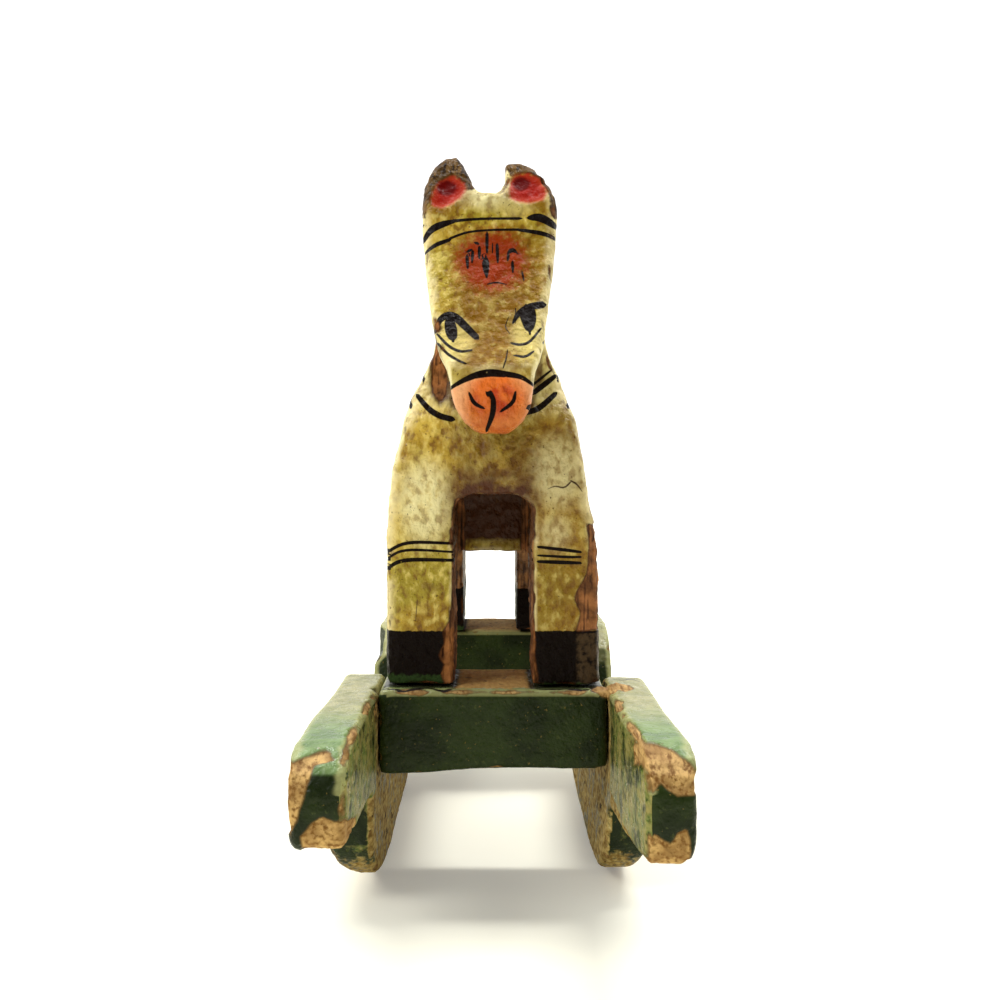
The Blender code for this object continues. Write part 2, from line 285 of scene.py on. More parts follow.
class Paint:
    """A procedural material under construction."""

    def __init__(self, name):
        self.material = bpy.data.materials.new(name)
        self.material.use_nodes = True
        self.tree = self.material.node_tree
        self.shader = self.tree.nodes["Principled BSDF"]
        self.place = self.tree.nodes.new("ShaderNodeTexCoord").outputs["Object"]

    def link(self, source, socket):
        if isinstance(source, bpy.types.NodeSocket):
            self.tree.links.new(source, socket)
        else:
            socket.default_value = source

    def field(self, name):
        node = self.tree.nodes.new("ShaderNodeAttribute")
        node.attribute_name = name
        return node.outputs["Fac"]

    def strokes(self, name, edge=0.12):
        """1 inside the brush strokes of write_strokes."""
        layers = []
        for part in ("_across", "_half_width"):
            node = self.tree.nodes.new("ShaderNodeAttribute")
            node.attribute_name = name + part
            split = self.tree.nodes.new("ShaderNodeSeparateXYZ")
            self.link(node.outputs["Vector"], split.inputs[0])
            layers.append(split.outputs)
        nearest = NO_STROKE
        for across, half_width in zip(*layers):
            clearance = self.math("SUBTRACT", self.math("ABSOLUTE", across), half_width)
            nearest = self.math("MINIMUM", nearest, clearance)
        return self.between(nearest, -edge, edge, 1.0, 0.0)

    def math(self, operation, first, second=0.0):
        node = self.tree.nodes.new("ShaderNodeMath")
        node.operation = operation
        self.link(first, node.inputs[0])
        self.link(second, node.inputs[1])
        return node.outputs[0]

    def times(self, first, second):
        return self.math("MULTIPLY", first, second)

    def noise(self, size_mm, detail=3.0, stretch=(1, 1, 1)):
        """Noise from 0 to 1 with features about size_mm across, stretched along the axes."""
        scaling = self.tree.nodes.new("ShaderNodeMapping")
        scaling.inputs["Scale"].default_value = [1 / part for part in stretch]
        self.link(self.place, scaling.inputs["Vector"])
        node = self.tree.nodes.new("ShaderNodeTexNoise")
        self.link(scaling.outputs[0], node.inputs["Vector"])
        node.inputs["Scale"].default_value = 1 / (size_mm * MM)
        node.inputs["Detail"].default_value = detail
        return node.outputs["Fac"]

    def between(self, value, low, high, to_low=0.0, to_high=1.0):
        """A smooth step from to_low, at low, to to_high, at high."""
        node = smooth_range(self.tree, low, high, to_low, to_high)
        self.link(value, node.inputs["Value"])
        return node.outputs["Result"]

    def mix(self, share, first, second):
        node = self.tree.nodes.new("ShaderNodeMix")
        node.data_type = "RGBA"
        self.link(share, node.inputs["Factor"])
        self.link(first, node.inputs["A"])
        self.link(second, node.inputs["B"])
        return node.outputs["Result"]

    def inside(self, name, edge=0.15, ragged=0.0):
        """1 inside a painted field and 0 outside it, with an uneven edge."""
        value = self.field(name)
        if ragged:
            wobble = self.times(self.math("SUBTRACT", self.noise(1.5), 0.5), ragged)
            value = self.math("ADD", value, wobble)
        return self.between(value, -edge, edge, 1.0, 0.0)

    def bump(self, *layers):
        """Adds fine relief from (height value, depth in millimetres) pairs."""
        normal = None
        for height, depth_mm in layers:
            node = self.tree.nodes.new("ShaderNodeBump")
            node.inputs["Distance"].default_value = depth_mm * MM
            self.link(height, node.inputs["Height"])
            if normal:
                self.link(normal, node.inputs["Normal"])
            normal = node.outputs["Normal"]
        self.link(normal, self.shader.inputs["Normal"])

    def finish(self, colour, roughness):
        self.link(colour, self.shader.inputs["Base Color"])
        self.link(roughness, self.shader.inputs["Roughness"])
        return self.material


def wood_colour(paint, grain_axis, dark=srgb(112, 72, 40), pale=srgb(200, 158, 112)):
    """Bare wood with its fibres along one axis."""
    stretch = [1, 1, 1]
    stretch[grain_axis] = 12
    fibres = paint.noise(1.2, 4, stretch)
    patches = paint.between(paint.noise(5, 4), 0.35, 0.65, 0.35, 1.0)
    worn = paint.mix(patches, dark, pale)
    return paint.mix(paint.between(fibres, 0.30, 0.58), dark, worn), fibres


def ochre_colour(paint, grains):
    """Old ochre: mottled, browner where warm, with painted highlights on its lumps, its edges (worn there
    too) and its pale areas, and darker in its pits.
    """
    mottled = paint.noise(9, 6)
    colour = paint.mix(paint.between(mottled, 0.36, 0.62), srgb(158, 122, 30), srgb(206, 174, 66))
    colour = paint.mix(paint.between(paint.noise(26, 2), 0.45, 0.62), colour, srgb(166, 146, 44))
    warm = paint.field("warm")
    colour = paint.mix(paint.times(warm, 0.85), colour, srgb(134, 90, 14))
    lump = paint.field("lump")
    # Painted highlight on the raised lumps
    colour = paint.mix(paint.between(lump, 0.1, 0.75, 0.0, 0.5), colour, srgb(226, 204, 108))
    colour = paint.mix(paint.between(grains, 0.50, 0.70, 0.0, 0.75), colour, srgb(230, 208, 116))
    colour = paint.mix(paint.between(grains, 0.49, 0.33, 0.0, 0.80), colour, srgb(116, 76, 16))
    colour = paint.mix(paint.between(lump, -0.25, -0.8, 0.0, 0.6), colour, srgb(112, 78, 20))
    # Painted highlight from the pale field: paler on the chest, thigh, crown, neck and the sides of the
    # forepart
    pale = paint.times(paint.field("pale"), paint.between(grains, 0.36, 0.56, 0.4, 1.0))
    colour = paint.mix(pale, colour, srgb(238, 226, 168))
    colour = paint.mix(paint.times(warm, 0.55), colour, srgb(118, 80, 4))
    cream = paint.times(paint.inside("cream", 2.2, 2.5), 0.6)
    colour = paint.mix(cream, colour, srgb(222, 204, 122))
    # Pale edges: wear along the edges and a painted highlight on them
    edge = paint.between(paint.field("edge"), 0.25, 0.8)
    edge_wear_and_highlight = paint.times(edge, paint.between(mottled, 0.42, 0.6))
    colour = paint.mix(paint.times(edge_wear_and_highlight, 0.8), colour, srgb(232, 214, 156))
    specks = paint.between(paint.noise(1.3, 2), 0.68, 0.74, 0.0, 0.8)
    return paint.mix(specks, colour, srgb(84, 54, 16))


def add_face_colours(paint, colour, grains):
    """The red patch on the forehead and the orange muzzle with its paler rim."""
    patch = paint.times(paint.inside("patch", 3.2, 9.0), paint.between(grains, 0.30, 0.50, 0.6, 1.0))
    colour = paint.mix(paint.times(patch, 0.95), colour, srgb(148, 44, 4))
    muzzle = paint.mix(paint.inside("muzzle_core", 2.8, 2.5), srgb(240, 134, 56), srgb(190, 62, 16))
    muzzle = paint.mix(paint.between(paint.noise(5, 3), 0.42, 0.62), muzzle, srgb(232, 112, 30))
    pale_rim = paint.between(paint.field("muzzle_middle"), -2.5, 2.5, 0.0, 0.75)
    muzzle = paint.mix(pale_rim, muzzle, srgb(246, 186, 136))
    return paint.mix(paint.inside("muzzle", 0.25, 0.4), colour, muzzle)


def add_ear_colours(paint, colour):
    """Bare grey wood on the rims and backs, and the red inside with its dark core."""
    wood, _fibres = wood_colour(paint, 2, srgb(34, 20, 8), srgb(120, 88, 42))
    colour = paint.mix(paint.inside("ear_wood", 0.4, 1.6), colour, wood)
    red = paint.mix(paint.between(paint.field("red"), -3.0, -0.2), srgb(158, 26, 12), srgb(172, 52, 28))
    colour = paint.mix(paint.inside("red", 0.8, 1.4), colour, red)
    return paint.mix(paint.inside("core", 0.7, 0.8), colour, srgb(98, 4, 2))


def add_hoof_colours(paint, colour, hoof):
    """Black hooves and tail, a scuffed left forehoof, and green lapping up from the crossbars."""
    colour = paint.mix(hoof, colour, srgb(18, 10, 7))
    scuffs = paint.times(paint.inside("scuffed", 0.8, 2.0), paint.between(paint.noise(2, 4), 0.3, 0.6))
    colour = paint.mix(scuffs, colour, srgb(74, 58, 40))
    lapped = paint.times(paint.inside("lapped", 0.6, 3.5), 0.8)
    return paint.mix(lapped, colour, srgb(52, 74, 36))


def add_bare_wood(paint, colour, bare, wood, rim_width, rim_colour):
    """Wood where the paint is gone, with the dark rim of the broken paint round it."""
    colour = paint.mix(bare, colour, wood)
    rim = paint.between(paint.math("ABSOLUTE", paint.field("bare")), rim_width, 0.1, 0.0, 0.6)
    return paint.mix(rim, colour, rim_colour)


def horse_paint():
    paint = Paint("old_ochre_paint")
    grains = paint.noise(2.5, 5, (1, 1, 1.4))
    colour = ochre_colour(paint, grains)
    colour = add_face_colours(paint, colour, grains)
    # Painted shade and dirt: dark brown in the hollows, between the legs, under the belly and jaw and down
    # the chest
    shade_and_dirt = paint.times(paint.field("shade_and_dirt"), paint.between(paint.noise(5, 5), 0.25, 0.6, 0.75, 1.3))
    colour = paint.mix(paint.math("MINIMUM", shade_and_dirt, 1.0), colour, srgb(76, 38, 10))
    stripped, fibres = wood_colour(paint, 2, srgb(48, 24, 10), srgb(164, 112, 66))
    colour = paint.mix(paint.field("stripped"), colour, stripped)
    colour = add_ear_colours(paint, colour)
    hoof = paint.inside("hoof", 0.2, 0.8)
    colour = add_hoof_colours(paint, colour, hoof)
    ink = paint.times(paint.strokes("ink"), paint.between(paint.noise(1.4, 2), 0.18, 0.30, 0.55, 1.0))
    colour = paint.mix(ink, colour, srgb(18, 9, 6))
    bare = paint.inside("bare", 0.15, 0.6)
    wood, _fibres = wood_colour(paint, 2, srgb(44, 20, 8), srgb(166, 108, 62))
    colour = add_bare_wood(paint, colour, bare, wood, 0.5, srgb(66, 36, 16))
    colour = paint.mix(paint.strokes("crack", 0.2), colour, srgb(58, 32, 12))
    gloss = paint.between(paint.noise(2.5, 3), 0.3, 0.7, 0.26, 0.48)
    roughness = paint.math("MAXIMUM", gloss, paint.times(bare, 0.85))
    dull = paint.math("MAXIMUM", paint.math("MAXIMUM", hoof, ink), paint.field("matt"))
    paint.link(paint.between(dull, 0.0, 1.0, 0.30, 0.06), paint.shader.inputs["Specular IOR Level"])
    smooth = paint.times(grains, paint.between(paint.field("red"), -0.5, 0.8, 0.25, 1.0))
    paint.bump((paint.noise(3.4, 5), 1.5), (smooth, 1.1), (fibres, 0.12))
    return paint.finish(colour, roughness)


def green_colour(paint, top):
    """Dark green with painted glints on the upright faces; on the tops a lighter green as painted light
    from above, paler still with dust and painted sheen towards the middle.
    """
    mottled = paint.between(paint.noise(11, 4), 0.35, 0.68)
    dark = paint.mix(mottled, srgb(26, 35, 14), srgb(42, 54, 22))
    shine = paint.between(paint.noise(1.6, 3), 0.62, 0.75, 0.0, 0.6)
    dark = paint.mix(shine, dark, srgb(70, 78, 40))
    # Painted light: the tops lighter than the upright faces
    bright = paint.mix(paint.between(paint.noise(6, 4), 0.38, 0.62), srgb(88, 116, 58), srgb(118, 144, 84))
    # Dust and painted sheen on the tops
    dust_and_sheen = paint.mix(paint.between(paint.noise(4, 4), 0.35, 0.65), srgb(142, 142, 88), srgb(170, 166, 114))
    return paint.mix(top, dark, paint.mix(paint.field("dust_and_sheen"), bright, dust_and_sheen))


def add_fading(paint, colour, fibres, worn):
    """Paint rubbed thin to olive, then faded to tan with dark stains, and pale edges that are partly wear
    and partly a painted highlight.
    """
    streaks = paint.between(fibres, 0.34, 0.64)
    olive = paint.mix(paint.between(paint.noise(5, 4), 0.38, 0.62), srgb(78, 104, 40), srgb(130, 122, 64))
    olive = paint.mix(paint.times(streaks, 0.6), olive, srgb(162, 150, 90))
    rubbed = paint.times(paint.inside("rubbed", 1.5, 6.0), paint.between(fibres, 0.28, 0.44))
    colour = paint.mix(rubbed, colour, olive)
    tan = paint.field("tan")
    faded = paint.mix(streaks, srgb(126, 98, 48), srgb(186, 160, 98))
    faded = paint.mix(paint.between(fibres, 0.66, 0.72), faded, srgb(214, 200, 146))
    faded = paint.mix(tan, faded, srgb(208, 160, 94))
    colour = paint.mix(worn, colour, faded)
    # Pale edges: partly wear, partly a painted highlight
    edge_wear_and_highlight = paint.between(paint.field("edge"), 0.35, 0.85, 0.0, 0.6)
    colour = paint.mix(edge_wear_and_highlight, colour, srgb(178, 178, 118))
    stains = paint.between(paint.noise(3.2, 2, (1, 1.6, 1)), 0.63, 0.67, 0.0, 0.95)
    stains = paint.times(stains, paint.math("SUBTRACT", worn, tan))
    colour = paint.mix(stains, colour, srgb(48, 34, 16))
    specks = paint.between(paint.noise(1.2, 3), 0.68, 0.72, 0.0, 0.7)
    return paint.mix(specks, colour, srgb(118, 100, 52))


def green_paint():
    paint = Paint("old_green_paint")
    top = paint.inside("top", 1.5, 1.0)
    fibres = paint.noise(1.5, 5, (1, 2.2, 1))
    worn = paint.inside("faded", 1.2, 5.0)
    colour = add_fading(paint, green_colour(paint, top), fibres, worn)
    wood, _fibres = wood_colour(paint, 1, srgb(120, 82, 38), srgb(206, 168, 106))
    wood = paint.mix(paint.between(paint.noise(0.9, 2), 0.66, 0.72, 0.0, 0.6), wood, srgb(104, 70, 34))
    bare = paint.inside("bare", 0.15, 0.5)
    colour = add_bare_wood(paint, colour, bare, wood, 0.45, srgb(96, 72, 34))
    colour = paint.mix(paint.field("dark"), colour, srgb(22, 13, 7))
    colour = paint.mix(paint.strokes("crack", 0.15), colour, srgb(24, 15, 8))
    gloss = paint.between(paint.noise(3, 3), 0.3, 0.7, 0.24, 0.42)
    roughness = paint.math("MAXIMUM", gloss, paint.times(paint.math("MAXIMUM", bare, worn), 0.85))
    shiny = paint.times(top, paint.math("SUBTRACT", 1.0, worn))
    paint.link(paint.between(shiny, 0.0, 1.0, 0.12, 0.42), paint.shader.inputs["Specular IOR Level"])
    paint.bump((paint.noise(3.0, 4), 0.6), (paint.noise(1.1, 3), 0.3), (fibres, 0.15))
    return paint.finish(colour, roughness)


def peg_wood():
    paint = Paint("end_grain_wood")
    wood, fibres = wood_colour(paint, 2)
    stained = paint.mix(paint.between(paint.noise(3, 3), 0.4, 0.65), wood, srgb(70, 62, 38))
    paint.bump((fibres, 0.15))
    return paint.finish(stained, paint.between(fibres, 0.3, 0.7, 0.65, 0.85))


def rusted_iron():
    paint = Paint("rusted_iron")
    rust = paint.mix(paint.between(paint.noise(0.8, 4), 0.4, 0.65), srgb(58, 46, 38), srgb(112, 62, 34))
    paint.shader.inputs["Metallic"].default_value = 0.4
    paint.bump((paint.noise(0.5, 4), 0.12))
    return paint.finish(rust, paint.between(paint.noise(1.0, 3), 0.3, 0.7, 0.45, 0.8))


# ---------------- horse


# The hooves' upper edge, the forelegs' back, and the opening between the legs: its top and half its width
HOOF_TOP = 85.4
FORELEG_BACK = -31
OPENING_TOP = 131
HALF_OPENING = 14.5

# The face, chest and forelegs, with their own paint and strokes, lie ahead of this
FRONT_START = -40


def build_horse(material):
    horse = carved_copy("horse_body", "painted_horse", voxel_mm=1.0, smoothing=5)
    points, normals = read_points(horse)
    edge = convexity(horse, points, normals)
    hand_carve(points)
    lump = rough_noise(points, 5.5, 11, 3)
    grain = rough_noise(points, 2.2, 17, 2)
    broad = lattice_noise(points, 16, 3) + 0.6 * lattice_noise(points, 9, 5)
    bare, ear_wood = horse_wear(points, normals, edge)
    calm = smoothstep(np.minimum(ear_paint(points), 2.0), 0.6, -0.6) * (points[:, 1] < -50)
    relief = 0.36 * broad + (0.34 * lump + 0.22 * grain) * (1 - 0.8 * calm) - 0.1
    relief -= 0.55 * smoothstep(bare, 0.4, -0.4)
    relief += 0.35 * grain * smoothstep(np.minimum(bare, ear_wood), 0.5, -0.5)
    points += normals * relief[:, None]
    write_points(horse, points)
    write_field(horse, "lump", np.clip(lump + 0.6 * grain, -1, 1))
    write_field(horse, "edge", edge)
    write_field(horse, "bare", bare)
    write_field(horse, "ear_wood", ear_wood)
    facing = -normals[:, 1] > 0.05
    on_front = facing & (points[:, 1] < FRONT_START)
    paint_strokes(horse, points, normals, on_front)
    paint_face(horse, points, on_front)
    paint_highlights_and_gloss(horse, points, normals, facing, on_front)
    paint_hooves(horse, points)
    paint_warm_areas(horse, points)
    paint_shade_and_dirt(horse, points, normals, edge, facing)
    horse.data.materials.append(material)


def hand_carve(points):
    """Makes the two sides differ: the head sits to the right; left shoulder and hind leg are thinner."""
    x, y, z = points.T
    shoulder = smoothstep(z, 114, 130) * smoothstep(z, 172, 160)
    left_shift = -2.1 * smoothstep(x, 8, 28) * shoulder
    right_shift = -0.8 * smoothstep(-x, 8, 28) * smoothstep(z, 104, 116) * smoothstep(z, 150, 136)
    points[:, 0] += left_shift + right_shift - 1.2 * smoothstep(z, 150, 190)
    rear_leg = smoothstep(y, 0, 24) * smoothstep(z, 122, 112)
    points[:, 0] -= 2.6 * rear_leg * smoothstep(x, 4, 10) * smoothstep(x, 26, 16)
    points[:, 1] += 1.1 * smoothstep(ear_paint(points), 0.8, -2.2) * smoothstep(y, -56, -62)


def ear_paint(points):
    """Below zero in the red of either ear."""
    flat = points[:, (0, 2)]
    return np.minimum(outline_field(flat, RIGHT_EAR_RED), outline_field(flat, LEFT_EAR_RED))


# Outlines of red paint and bare wood as (across, up)
RIGHT_EAR_RED = (
    (-19.7, 222.6), (-20.1, 225.1), (-18.3, 230.4), (-15.5, 232.6), (-12.9, 233.7),
    (-9.4, 230.8), (-8.7, 228), (-10.4, 225.1), (-14.0, 222.4), (-16.9, 221.6),
)
LEFT_EAR_RED = (
    (5.3, 225.4), (5.3, 231.4), (7.4, 234.0), (11.7, 234.6), (15.3, 232.4),
    (17.6, 227.4), (16.2, 224.6), (11.7, 223.2), (7.2, 223.8),
)
RIGHT_EAR_WOOD = (
    (-25, 218), (-25, 250), (-4, 250), (-6.0, 228), (-9.2, 228), (-9.6, 230.6),
    (-12.7, 233.0), (-15.8, 232), (-18.2, 230), (-20.2, 225.3), (-21.6, 218),
)
LEFT_EAR_WOOD = (
    (3.0, 250), (3.6, 236.5), (6.0, 233.0), (7.2, 233.6), (11.8, 234.3), (15.0, 232),
    (17.3, 228.0), (19.0, 219), (24, 216), (24, 250),
)
RIGHT_LEG_WOOD = (
    (-12.2, 128), (-12.6, 108), (-13.3, 96), (-14.2, 88.5), (-16.7, 85.4), (-16.0, 82),
    (-17.6, 77.5), (-16.0, 74.5), (-17.0, 71), (-14.5, 66), (-10, 66), (-10, 128),
)
LEFT_LEG_OUTER_WOOD = (
    (30.4, 120), (31.2, 112), (30.4, 104), (28.4, 100.5), (26.6, 96), (28.2, 91),
    (27.2, HOOF_TOP), (40, HOOF_TOP), (40, 120),
)
LEFT_LEG_INNER_WOOD = ((10, 128), (12.3, 126), (12.5, 106), (12.9, 95), (13.4, 84), (14.6, 66), (10, 66))
RIGHT_CHEEK_WOOD = (
    (-19.2, 182), (-17.4, 176), (-15.2, 168), (-15.4, 162), (-17.2, 159), (-19.8, 163), (-20.4, 172),
)


def horse_wear(points, normals, edge):
    """Below zero where the paint is gone: first on the edges and forelegs, then on the ears."""
    _x, y, z = points.T
    flat = points[:, (0, 2)]
    ragged = rough_noise(points, 5, 41, 4)
    off_muzzle = np.where((y < -80) & (z < 172), OUTSIDE, 0)
    bare = 2.9 - 2.4 * edge + 2.2 * ragged + off_muzzle
    off_foreleg = np.where(y < FORELEG_BACK, 0, OUTSIDE)
    for outline in (RIGHT_LEG_WOOD, LEFT_LEG_INNER_WOOD):
        bare = np.minimum(bare, outline_field(flat, outline) + 0.7 * ragged + off_foreleg)
    split = np.maximum(outline_field(flat, LEFT_LEG_OUTER_WOOD), y + 53 + 4 * ragged)
    bare = np.minimum(bare, split + 0.7 * ragged)
    off_cheek = np.where((y < -55) & (normals[:, 1] < -0.05), 0, OUTSIDE)
    bare = np.minimum(bare, outline_field(flat, RIGHT_CHEEK_WOOD) + 0.5 * ragged + off_cheek)
    rims = np.minimum(outline_field(flat, RIGHT_EAR_WOOD), outline_field(flat, LEFT_EAR_WOOD))
    rims += ragged * np.where(np.abs(normals[:, 0]) > 0.6, 3.0, 0.8)
    backs = np.where((z > 225) & (normals[:, 1] > -0.3), 0.4 + 2.2 * ragged, OUTSIDE)
    tops = (239 - z) * 0.8 + 2.0 * ragged
    return bare, np.minimum.reduce([rims, backs, tops])


def paint_strokes(horse, points, normals, on_front):
    front = points[:, (0, 2)]
    side = points[:, (1, 2)]
    on_side = np.abs(normals[:, 0]) > 0.45
    write_strokes(horse, "ink", ((front, on_front, FACE_STROKES), (side, on_side, SIDE_STROKES)))
    write_strokes(horse, "crack", ((front, on_front, FACE_CRACKS), (side, on_side, SIDE_CRACKS)))


def paint_face(horse, points, on_front):
    """The muzzle under its noseband, the forehead patch, the ears' red and the cream round the eyes."""
    x, y, z = points.T
    flat = points[:, (0, 2)]
    off_front = np.where(on_front, 0, NOWHERE)
    write_field(horse, "muzzle", np.maximum(z - np.interp(x, NOSEBAND_X, NOSEBAND_Z), y + 84))
    write_field(horse, "muzzle_middle", ellipse_field(flat, (1.0, 156), (9.2, 11)))
    write_field(horse, "muzzle_core", ellipse_field(flat, (0.5, 158.5), (6.5, 5.5)))
    write_field(horse, "patch", ellipse_field(flat, (-0.5, 203.5), (11, 10.5)) + off_front)
    write_field(horse, "red", ear_paint(points) + off_front)
    right_core = ellipse_field(flat, (-15.1, 229), (3.2, 2.8))
    left_core = ellipse_field(flat, (9.2, 230.6), (2.8, 2.6))
    write_field(horse, "core", np.minimum(right_core, left_core) + off_front)
    right_cheek = ellipse_field(flat, (-12, 176), (6, 8))
    left_cheek = ellipse_field(flat, (11, 178), (5.5, 9))
    forehead = ellipse_field(flat, (7, 222), (5, 3))
    write_field(horse, "cream", np.minimum.reduce([right_cheek, left_cheek, forehead]) + off_front)


def paint_highlights_and_gloss(horse, points, normals, facing, on_front):
    """How strong the painted highlights are on the chest, thigh, crown, neck and the sides of the forepart,
    and how far the paint has lost its gloss.
    """
    x, y, z = points.T
    flat = points[:, (0, 2)]
    # Painted highlights: glare on the chest, thigh and crown, and a paler rim on the side faces and the
    # neck
    chest_left = smoothstep(ellipse_field(flat, (-22, 127), (8, 13)), 4, -4)
    chest_right = smoothstep(ellipse_field(flat, (21, 137), (8, 11)), 4, -4)
    thigh = 0.8 * smoothstep(ellipse_field(flat, (20, 117), (5, 6)), 3, -4)
    crown = smoothstep(ellipse_field(flat, (-1, 227), (8, 4)), 4, -2)
    front = np.maximum.reduce([chest_left, chest_right, thigh, crown]) * on_front
    ahead = smoothstep(y, -24, -56)
    sides = ahead * smoothstep(np.abs(normals[:, 0]), 0.4, 0.75) * smoothstep(z, 112, 132)
    neck = 0.6 * ahead * smoothstep(y, -78, -70) * smoothstep(z, 152, 162) * smoothstep(z, 206, 190)
    write_field(horse, "pale", np.maximum.reduce([front, sides, neck]))
    glossy = 0.2
    matt = glossy + (1 - glossy) * smoothstep(z, 162, 172) * smoothstep(y, -56, -62)
    beside_head = (z > 168) & (np.abs(x) > 15) & (y > -90) & ~facing
    write_field(horse, "matt", np.where(beside_head, glossy, matt))


def paint_hooves(horse, points):
    """The black hooves and tail, the scuffed left forehoof and the green at the hooves' feet."""
    x, y, z = points.T
    fore = y < FORELEG_BACK
    dip = 1.4 * smoothstep(-x, HALF_OPENING, 12) * (x < 0)
    tail = np.maximum(np.abs(x) - 6.7, 90.3 - y)
    write_field(horse, "hoof", np.minimum(z - HOOF_TOP - dip, tail))
    write_field(horse, "scuffed", np.where(fore & (z < HOOF_TOP), 27.2 - x, OUTSIDE))
    write_field(horse, "lapped", z - np.where(x < 0, 71.0, 68.2) + np.where(fore, 0, 1.5))


def paint_warm_areas(horse, points):
    """How brown the ochre is: most on the left, on the nose and just under the ears."""
    x, _y, z = points.T
    left_body = 0.6 * smoothstep(x, -10, 26) * smoothstep(z, 170, 150)
    left_temple = 0.55 * smoothstep(x, 0, 12) * smoothstep(z, 184, 190) * smoothstep(z, 218, 212)
    under_ears = 0.8 * smoothstep(ear_paint(points), 6, 0) * (z < 229)
    nose = smoothstep(np.abs(x + 1), 15, 6) * smoothstep(z, 160, 170) * smoothstep(z, 216, 206)
    write_field(horse, "warm", np.clip(left_body + left_temple + under_ears + nose, 0, 1))


def paint_shade_and_dirt(horse, points, normals, edge, facing):
    """Where the wood is stripped between the legs, and how dark the painted shade and dirt are in every
    hollow, under the belly and jaw and down the chest.
    """
    x, y, z = points.T
    low = z < OPENING_TOP
    between_legs = (np.abs(x) < HALF_OPENING) & low & (np.abs(normals[:, 0]) > 0.5)
    rear_legs = (y > 0) & facing & (np.abs(x) < 22) & (z < 122)
    stripped = between_legs | rear_legs
    write_field(horse, "stripped", np.where(stripped, 1.0, 0.0))
    # Painted shade: darker between the legs, on the belly wall, under the belly, down the chest, beside the
    # cheek, under the jaw and in the hollows
    legs = np.where(stripped, 0.5, 0.0)
    belly_wall = 1.3 * smoothstep(z, 110.5, 114.5) * ((np.abs(x) < 13.4) & low & (y > -55) & (y < 0))
    under_belly = np.where((normals[:, 2] < -0.5) & (z < 125), 0.8, 0.0)
    chest = 0.45 * smoothstep(z, 166, 145) + 0.50 * smoothstep(z, 142, 127)
    chest *= smoothstep(z, 106, 130) * smoothstep(np.abs(x), 20, 8) * (y < -50)
    beside_cheek = smoothstep(outline_field(points[:, (0, 2)], RIGHT_CHEEK_WOOD), 1.6, 0.0)
    throat = 0.8 * beside_cheek * smoothstep(y, -50, -56) * facing
    under_jaw = 0.9 * smoothstep(normals[:, 2], -0.3, -0.7) * (z > 146) * (y < -60) * (y > -86)
    hollows = 0.7 * smoothstep(-edge, 0.15, 0.6)
    darkening = np.maximum.reduce([legs, belly_wall, under_belly, chest, throat, under_jaw, hollows])
    write_field(horse, "shade_and_dirt", darkening)


# Dark splits in the wood, as (points across and up, widths)
FACE_CRACKS = (
    (((17.5, 131.4), (20, 132.4), (23, 132.0), (25.4, 134.2)), 0.1, 0.5, 0.5),
    (((25.0, 134.2), (27, 133.0), (29.0, 130.4)), 0.5, 0.6, 0.1),
    (((-24.5, 96), (-25.2, 88)), 0.1, 0.3, 0.1),
)
SIDE_CRACKS = (
    (((-20, 158), (10, 155), (44, 157)), 0.2, 0.6, 0.2),
    (((-58, 134), (-30, 137), (-12, 135)), 0.2, 0.5, 0.2),
    (((50, 132), (70, 130), (84, 134)), 0.2, 0.5, 0.2),
)

# Black strokes on both sides as (points along and up, widths)
BAND_STEPS = (0, 1, 2)
FORE_BANDS = [((-70, 111.5 - 3 * step), (-35, 111 - 3 * step)) for step in BAND_STEPS]
HIND_BANDS = [((34 + step, 111 - 3 * step), (78 - step, 109 - 3 * step)) for step in BAND_STEPS]
KNEE_BANDS = [(band, 0.9, 1.1, 0.9) for band in FORE_BANDS + HIND_BANDS]
MANE_TIPS = ((-36, 214), (-32, 206), (-28, 198), (-23, 190), (-16, 183))
MANE = [(((along, up), (along - 8, up - 6)), 0.6, 1.1, 0.4) for along, up in MANE_TIPS]
SIDE_STROKES = (
    *KNEE_BANDS,
    # edge of the shoulder
    (((-61, 164), (-64, 148), (-63, 125)), 0.6, 1.0, 0.5),
    (((-54, 168), (-57, 150), (-56, 122)), 0.6, 0.9, 0.5),
    # collar
    (((-66, 158), (-48, 170), (-30, 187), (-26, 196)), 1.3, 1.7, 1.2),
    (((-67, 164), (-52, 176), (-36, 198)), 0.8, 1.2, 0.8),
    # saddle cloth
    (((-14, 168), (-16, 150), (-8, 136), (10, 131), (30, 136), (38, 150), (36, 166)), 1.3, 1.8, 1.3),
    (((-9, 168), (-11, 152), (-4, 141), (11, 136), (26, 141), (33, 152), (31, 166)), 0.7, 1.0, 0.7),
    (((4, 136), (5, 122), (4, 110)), 1.6, 1.9, 1.6),
    (((36, 158), (60, 160), (84, 150)), 1.0, 1.4, 1.0),
    # bridle
    (((-92, 176), (-76, 181), (-62, 194)), 0.9, 1.2, 0.9),
    (((-72, 216), (-60, 214), (-44, 216)), 0.9, 1.3, 0.9),
    *MANE,
)

NOSEBAND_X = (-13, -9, -5, 0, 5, 8, 13)
NOSEBAND_Z = (161, 163.5, 165.2, 166, 165.6, 164.6, 162)

